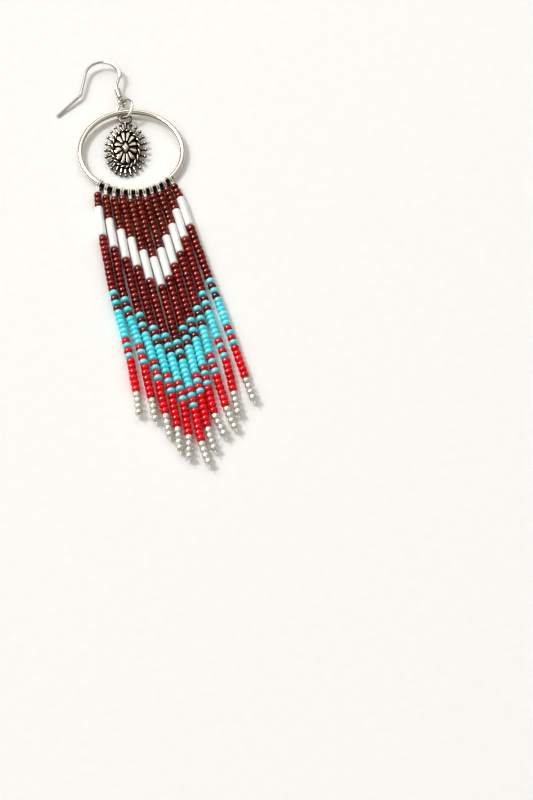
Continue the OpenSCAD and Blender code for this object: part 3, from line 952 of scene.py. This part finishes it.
# %% Rope border, neck and bail
rope_steps, rope_twists, rope_half, rope_strand_r = 200, 10, 0.27, 0.3
for side in (0, math.pi):
    points = []
    for i in range(rope_steps):
        angle = math.tau * i / rope_steps
        twist = angle * rope_twists + side
        out = Vector((math.cos(angle) / charm_rope[0], math.sin(angle) / charm_rope[1], 0)).normalized()
        points.append(on_oval(charm_rope, angle, rope_z)
                      + (out * math.cos(twist) + Vector((0, 0, math.sin(twist)))) * rope_half * mm)
    charm_parts.append(sweep(f"rope_{side:.0f}", points, rope_strand_r * mm, antique_silver,
                             closed=True))
neck_r, neck_waist = 0.5, [1.25, 1.1, 0.85, 0.8, 0.95, 1.1]
neck = [Vector((0, y, 0.05)) * mm for y in (5.9, 6.5, 7.2, 7.9, 8.5, 9.1)]
charm_parts.append(sweep("neck", neck, neck_r * mm, antique_silver, radii=neck_waist))
bail = [Vector((bail_r * math.cos(a), bail_y + bail_r * math.sin(a), 0)) * mm
        for a in (math.tau * i / 40 for i in range(40))]
charm_parts.append(sweep("bail", bail, bail_wire_r * mm, antique_silver, closed=True))
for part in charm_parts:
    part.data.materials.clear()
cast_charm = join("cast_charm", charm_parts)
cast_charm.data.transform(charm_place)
cast_charm.data.materials.append(antique_silver)
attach(cast_charm, "root")
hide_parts("charm")
print("charm faces:", len(cast_charm.data.polygons))

# %% [markdown]
# Patina stays where rubbing can't reach. To find those places, rays go out from each point of the
# mesh to all sides in front of it, and the share of them that meets the charm again within a
# short distance is stored. Sides that don't face up get painted shade on top, darker the more
# they face down, and the neck and the bail are rubbed less, so they get a little more patina.

# %% Measure the patina and the painted shade
def measure_patina_and_shade(piece, reach, ray_count):
    in_front, side_shade_share, neck_y, neck_half, neck_share = 0.25, 0.4, 6.8, 2, 0.2
    mesh = piece.data
    tree = BVHTree.FromPolygons([v.co for v in mesh.vertices],
                                [tuple(f.vertices) for f in mesh.polygons])
    ray_random = random.Random(5)
    rays = [Vector([ray_random.gauss(0, 1) for _ in range(3)]).normalized() for _ in range(ray_count)]
    patina_and_shade = mesh.attributes.new("patina_and_shade", "FLOAT", "POINT")
    to_charm = charm_place.inverted()
    for vertex, value in zip(mesh.vertices, patina_and_shade.data):
        ahead_rays = [ray for ray in rays if ray.dot(vertex.normal) > in_front]
        start = vertex.co + vertex.normal * 0.02 * mm
        hits = sum(tree.ray_cast(start, ray, reach)[0] is not None for ray in ahead_rays)
        # Painted shade: the more a side faces down, the darker it is painted
        faces_down_shade = 1 - max(vertex.normal.z, 0)
        spot = to_charm @ vertex.co / mm
        unrubbed = neck_share if spot.y > neck_y and abs(spot.x) < neck_half else 0
        value.value = hits / max(len(ahead_rays), 1) + side_shade_share * faces_down_shade + unrubbed
    return [value.value for value in patina_and_shade.data]


shares = sorted(measure_patina_and_shade(cast_charm, 1.5 * mm, 60))
print("recess, open to hidden:", [round(shares[int(q * (len(shares) - 1))], 2) for q in (0, 0.5, 1)])

# %% [markdown]
# ## The coil on the ear wire
#
# The small coil is fine wire wound tight on the front leg. Its solid has six flat sides, so a
# round one is wound in its place. The leg is found as the wire was bent, from its free end on: a
# straight length, then a bend of some radius through some angle, three times.

# %% Wind the coil
hook_left, hook_above, hook_height = 17.35, 17.85, 0.42
hook_roll, hook_pitch = math.radians(-5.5), math.radians(1.4)
hook_place = (Matrix.Translation((hoop_middle.x - hook_left * mm, hoop_middle.y + hook_above * mm,
                                  hook_height * mm))
              @ Matrix.Rotation(hook_roll, 4, "Y") @ Matrix.Rotation(hook_pitch, 4, "X"))
hook_bends = [(9, 1.6, 33.5), (7, 4.8, -183), (2.9, 1.5, 29)]
coil_r, coil_wire_r, coil_pitch, coil_turns, coil_start = 0.7, 0.25, 0.52, 6, 0.3
coil_steps = 20


def heading_vector(degrees):
    return Vector((math.cos(math.radians(degrees)), math.sin(math.radians(degrees)), 0))


spot, heading = Vector((0, 0, 0)), 34.5
for length, bend, turn in hook_bends:
    hand = math.copysign(1, turn)
    middle = spot + heading_vector(heading) * length + heading_vector(heading + 90) * hand * bend
    heading += turn
    spot = middle - heading_vector(heading + 90) * hand * bend
leg, beside = heading_vector(heading), heading_vector(heading + 90)
winding = []
for i in range(coil_turns * coil_steps + 1):
    a = math.tau * i / coil_steps
    winding.append(hook_place @ ((spot + leg * (coil_start + coil_wire_r + coil_pitch * i / coil_steps)
                                  + (beside * math.sin(a) - Vector((0, 0, math.cos(a)))) * coil_r) * mm))
wound_coil = sweep("wound_coil", winding, coil_wire_r * mm, silver_plate)
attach(wound_coil, "root")
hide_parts("ear_wire_coil")
print("coil leg heads to degrees:", round(heading, 1))

# %% [markdown]
# ## Finishes on the measured solids
#
# The hoop, the jump ring and the ear wire have the right shape already, so they only
# take their finish. The solids that stand behind a finer piece get one too.

# %% Finish the solids
def finish_node(name, finish):
    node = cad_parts[name]
    node.data.materials.clear()
    node.data.materials.append(finish)


finish_node("jump_ring", silver_plate)
finish_node("ear_wire", wire_silver)
finish_node("hoop", hoop_silver_painted_shade)
finish_node("ear_wire_coil", silver_plate)
finish_node("charm", antique_silver)
for k in range(len(strands)):
    finish_node(f"bugle_{k + 1:02d}", white_glass)
    finish_node(f"strand_{k + 1:02d}", glass["burgundy"])
finish_node("thread_loops", thread)
print("finished solids:", len(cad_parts))

# %% Put the sample beads away
for shape in bead_shapes.values():
    bpy.data.objects.remove(shape)
